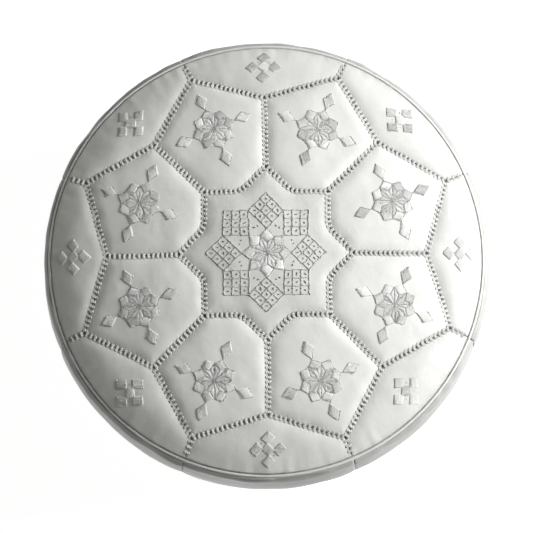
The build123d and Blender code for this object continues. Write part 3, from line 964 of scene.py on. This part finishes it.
def side_profile():
    """Distance down, radius, height and outward normal, from the top piping to the foot piping."""
    def arc(rise, run):
        return (rise ** 2 + run ** 2) / (2 * run)

    upper = arc(RIM_Z - WIDEST_Z, WIDEST_R - RIM_R)
    lower = arc(WIDEST_Z - FOOT_Z, WIDEST_R - FOOT_R)
    top = math.asin((RIM_Z - PIPING_R * 0.6 - WIDEST_Z) / upper)
    bottom = math.asin((WIDEST_Z - FOOT_Z - FOOT_TUBE) / lower)
    to_widest = upper * top
    total = to_widest + lower * bottom
    s = np.concatenate([np.arange(0, TOP_BAND, 0.7), np.linspace(TOP_BAND, total - FOOT_BAND, SIDE_ROWS),
                        total - np.arange(FOOT_BAND - 2, -1, -1)])
    above = s < to_widest
    angle = np.where(above, top - s / upper, -(s - to_widest) / lower)
    radius = np.where(above, upper, lower)
    r = WIDEST_R - radius + radius * np.cos(angle)
    z = WIDEST_Z + radius * np.sin(angle)
    return s, r, z, np.cos(angle), np.sin(angle)


def side_panel(k):
    """One panel of the side: full between its seams, wrinkled, and rolled under the top bead."""
    s, r, z, normal_r, normal_z = side_profile()
    degrees = k * STEP + np.linspace(-HALF, HALF, SIDE_COLUMNS)[:, None]
    a = np.radians(degrees)
    shape = (SIDE_COLUMNS, len(s))

    def spin(radial, vertical):
        return np.stack([radial * np.cos(a), radial * np.sin(a), np.broadcast_to(vertical, shape)], -1)

    def ripple(cell, seed, *places):
        columns = [np.broadcast_to(place, shape).ravel() for place in places]
        return noise(np.column_stack(columns or [base]), cell, seed).reshape(shape)

    base = spin(r, z).reshape(-1, 3)
    from_bead = np.minimum(s, s[-1] - s)
    from_seam = np.radians(HALF - np.abs(degrees - k * STEP)) * r
    from_edge = np.minimum(from_seam, from_bead)
    full = (1 - np.exp(-from_bead / SIDE_REACH)) * (1 - SIDE_SEAM_DIP * np.exp(-from_seam / SIDE_REACH))
    broad = 1.3 * ripple(75, 100 + k) + 0.6 * ripple(28, 200 + k) + 0.18 * ripple(10, 300 + k)
    drag = ripple(7, 600 + k, from_seam * 0.2, s, degrees)
    broad += drag * np.exp(-from_seam / 12) * (1 - np.exp(-from_seam / 2))
    gathers = ripple(9, 400, degrees * 4) * np.exp(-from_bead / 10) * (1 - np.exp(-from_bead / 2))
    curl = np.exp(-from_edge / CURL_WIDTH)
    lift = SIDE_SINK + (SIDE_PUFF + broad) * full + 1.1 * gathers - SEAM_CURL * curl
    uneven = 1 + 0.35 * ripple(22, 800)
    for height, middle, width in TOP_ROLLS:
        lift += height * uneven * np.exp(-((s - middle) / width) ** 2)
    verts = base + spin(normal_r, normal_z).reshape(-1, 3) * lift.reshape(-1, 1)
    # Painted shade: darker where the cut edges turn down at the seams and by the piping, a little darker
    # near them, and in the crease under the top bead.
    crease = np.exp(-((s - CREASE_DOWN) / 1.2) ** 2)
    wear_and_shade = 0.35 * curl + 0.12 * np.exp(-from_edge / 6) + 0.35 * crease
    name = f"side_panel_{k + 1}"
    piece = lay_leather(name, verts, grid(*shape), SHADED_SIDE_LEATHER, wear_and_shade.ravel())


for k in range(FOLDS):
    side_panel(k)


# ---- Base and zip ----

facing_box = node_box("zip_facing_rear")
RECESS_HALF_X, RECESS_HALF_Y = facing_box[1][:2]
FACING_INNER_Y = facing_box[0][1]
TAPE_Z = node_box("zip_tape_rear")[0][2]
WALL_RUN = RECESS_HALF_Y - FACING_INNER_Y
BASE_STEP = 4.0
BASE_RIM_GAP = 0.4      # between the base and the foot piping
BASE_GAP, CHORD_GAP = 0.5, 0.7          # and round the recess


def base_z(points):
    """Height of the underside: flat, then a rounded foot, then the recess's end walls."""
    r = np.linalg.norm(points, axis=1)
    foot = ((FOOT_R - FLAT_R) ** 2 + FOOT_Z ** 2) / (2 * FOOT_Z)
    z = np.where(r > FLAT_R, foot - np.sqrt(np.maximum(foot ** 2 - (r - FLAT_R) ** 2, 0)), 0)
    wall = (RECESS_HALF_X - np.abs(points[:, 0])) * TAPE_Z / WALL_RUN
    return np.where(np.abs(points[:, 1]) < RECESS_HALF_Y, np.maximum(z, np.clip(wall, 0, TAPE_Z - 0.2)), z)


def lay_base(name, outline, seed):
    points, faces, distance = fill(outline, BASE_STEP, BASE_STEP)
    swell = 0.35 * (noise(points, 30, seed) + 1) * (1 - np.exp(-distance / 20))
    verts = np.column_stack([points, base_z(points) + 1.1 * np.exp(-distance / 2.5) + swell])
    # Darker along each panel's edges, and a little in random patches.
    wear_and_shade = 0.5 * np.exp(-distance / 2) + 0.15 * (noise(points, 60, seed + 1) > 0.2)
    piece = lay_leather(name, verts, faces[:, ::-1], BASE_LEATHER, wear_and_shade)


def base_panels():
    rim = FOOT_R - FOOT_TUBE - BASE_RIM_GAP
    chord = RECESS_HALF_Y + CHORD_GAP
    start = math.degrees(math.asin(chord / rim))
    segment = np.array([polar(rim, a) for a in np.linspace(start, 180 - start, 150)])
    lay_base("base_panel_rear", segment, 51)
    lay_base("base_panel_front", -segment, 53)
    half_y = RECESS_HALF_Y - BASE_GAP
    start = math.degrees(math.asin(half_y / rim))
    arc = [polar(rim, a) for a in np.linspace(-start, start, 16)]
    outer, inner = RECESS_HALF_X - BASE_GAP, RECESS_HALF_X - WALL_RUN + BASE_GAP
    end = np.array([*arc, (outer, half_y), (inner, FACING_INNER_Y), (inner, -FACING_INNER_Y),
                    (outer, -half_y)])
    lay_base("base_end_panel_right", end, 57)
    lay_base("base_end_panel_left", -end, 59)


base_panels()


def facing(name, side):
    """The leather strip that slants from the base up to the zip tape."""
    rows, steps = 9, 90
    t = np.linspace(0, 1, rows)
    y = RECESS_HALF_Y - 0.3 - t * (WALL_RUN - 0.3)
    z = 0.4 + t * (TAPE_Z - 1.0) - 0.55 * np.sin(math.pi * t)
    half_x = RECESS_HALF_X - 1.0 - t * WALL_RUN
    x = np.linspace(-1, 1, steps)[:, None] * half_x[None, :]
    verts = np.stack([x, np.broadcast_to(side * y, x.shape), np.broadcast_to(z, x.shape)], -1).reshape(-1, 3)
    verts[:, 2] += 0.25 * noise(verts, 12, 61)
    faces = grid(steps, rows)
    if side > 0:
        faces = faces[:, ::-1]
    # Darker towards the strip's lower and upper edges, by the base and by the zip tape.
    wear_and_shade = np.tile(0.45 * np.exp(-np.minimum(t, 1 - t) * 9), steps)
    lay_leather(name, verts, faces, BASE_LEATHER, wear_and_shade)


facing("zip_facing_rear", 1)
facing("zip_facing_front", -1)


def coil(node, side):
    """Nylon monofilament wound in flattened turns along the tape's edge."""
    lo, hi = node_box(node)
    wire, pitch, k = 0.36, 1.45, 6
    turns = int((hi[0] - lo[0] - 2 * wire) / pitch)
    t = np.arange(turns * 12 + 1) / 12
    reach = (hi[1] - lo[1]) / 2 - wire + 0.12
    middle = (hi[1] + lo[1]) / 2 - side * 0.12
    centre = np.column_stack([lo[0] + wire + t * pitch + 0.35 * pitch * np.sin(4 * math.pi * t) / 2,
                              middle + reach * np.cos(2 * math.pi * t),
                              (hi[2] + lo[2]) / 2 + ((hi[2] - lo[2]) / 2 - wire) * np.sin(2 * math.pi * t)])
    direction = unit(np.gradient(centre, axis=0))
    first = unit(np.cross(direction, (1.0, 0, 0)))
    second = np.cross(direction, first)
    angles = np.linspace(0, 2 * math.pi, k, endpoint=False)[None, :, None]
    verts = centre[:, None] + wire * (first[:, None] * np.cos(angles) + second[:, None] * np.sin(angles))
    verts = verts.reshape(-1, 3)
    faces = grid(len(centre), k, round_columns=True).tolist()
    faces += [list(range(k))[::-1], [len(verts) - k + i for i in range(k)]]
    put(node + "_turns", verts, faces, COIL_PLASTIC, replaces=(node,))


coil("zip_coil_front", -1)
coil("zip_coil_rear", 1)


# ---- CAD pieces that stay ----

def dress(material, *nodes):
    for node in nodes:
        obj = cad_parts[node]
        obj.data.materials.clear()
        obj.data.materials.append(material)


dress(TAPE_WEAVE, "zip_tape_front", "zip_tape_rear")
dress(NICKEL, "zip_slider", "zip_pull", "zip_top_stops", "zip_bottom_stop")
dress(LINER_WEAVE, "liner_bag")
dress(STUFFING, "stuffing")
for node in ("zip_slider", "zip_pull"):
    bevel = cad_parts[node].modifiers.new("soft_edges", "BEVEL")
    bevel.width = 0.22 * MM
    bevel.segments = 2
    bevel.limit_method = "ANGLE"


# ---- Floor, light and camera ----

def backdrop():
    """A glowing white floor that fades to dark under the object, a painted contact shadow, and a wall that
    lends the object no light of its own.
    """
    paints = {name: Nodes(name + "_paint") for name in ("floor", "wall")}
    for paint in paints.values():
        paint.finish((0.30, 0.30, 0.30), 0.9, None, Emission_Color=(1, 1, 1, 1), Emission_Strength=0.68)
    floor = paints["floor"]
    from_axis = floor.add("ShaderNodeVectorMath", operation="LENGTH")
    floor.wire(floor.add("ShaderNodeNewGeometry").outputs["Position"], from_axis.inputs[0])
    glow_with_painted_shadow = floor.spread(from_axis.outputs["Value"], (FOOT_R - 24) * MM, (WIDEST_R + 2) * MM, 0.0, 0.93)
    floor.wire(glow_with_painted_shadow, floor.shader.inputs["Emission Strength"])
    hub, reach, bend, height, around = 0.5, 5.0, 1.0, 3.0, 72      # in metres, but for the last
    turns = np.linspace(0, 2 * math.pi, around, endpoint=False)
    sweep_up = [(reach + bend * math.sin(t), bend * (1 - math.cos(t)))
                for t in np.linspace(0, math.pi / 2, 15)]
    for name, profile in (("floor", [(hub, 0), (reach, 0)]), ("wall", [*sweep_up, (reach + bend, height)])):
        verts = [(r * math.cos(a), r * math.sin(a), z) for r, z in profile for a in turns]
        faces = [list(range(around))] if name == "floor" else []
        faces += grid(len(profile), around, round_columns=True)[:, FLIPPED].tolist()
        mesh = bpy.data.meshes.new(name)
        mesh.from_pydata(verts, [], faces)
        mesh.materials.append(paints[name].material)
        mesh.shade_smooth()
        obj = add_object(name, mesh)
        obj.visible_diffuse = name == "floor"


def light():
    """A dim, faintly green-gold sky and one soft key light, low on the right."""
    world = bpy.data.worlds.new("studio")
    world.use_nodes = True
    background = world.node_tree.nodes["Background"]
    background.inputs["Color"].default_value = (0.98, 1, 0.91, 1)
    background.inputs["Strength"].default_value = 0.17
    bpy.context.scene.world = world
    key = bpy.data.lights.new("key", "AREA")
    key.size, key.energy, key.spread = 0.9, 12.9, math.radians(60)
    place, target = Vector((1.85, 0.36, 1.22)), Vector((0, 0, 0.5))
    obj = add_object("key", key)
    obj.location = place
    obj.rotation_euler = (target - place).to_track_quat("-Z", "Y").to_euler()


def camera():
    """Nearly overhead, from the front, at the distance and angle of the reference view."""
    distance, elevation = 1.9, math.radians(82)
    target = Vector((0, 0.0042, 0.16))
    place = target + distance * Vector((0, -math.cos(elevation), math.sin(elevation)))
    data = bpy.data.cameras.new("camera")
    data.sensor_width, data.lens = 36, 106.9
    obj = add_object("camera", data)
    obj.location = place
    roll = math.radians(-0.6)
    look = (target - place).to_track_quat("-Z", "Y").to_matrix().to_4x4()
    obj.rotation_euler = (look @ Matrix.Rotation(roll, 4, "Z")).to_euler()
    bpy.context.scene.camera = obj


backdrop()
light()
camera()
bpy.context.scene.view_settings.view_transform = "Standard"
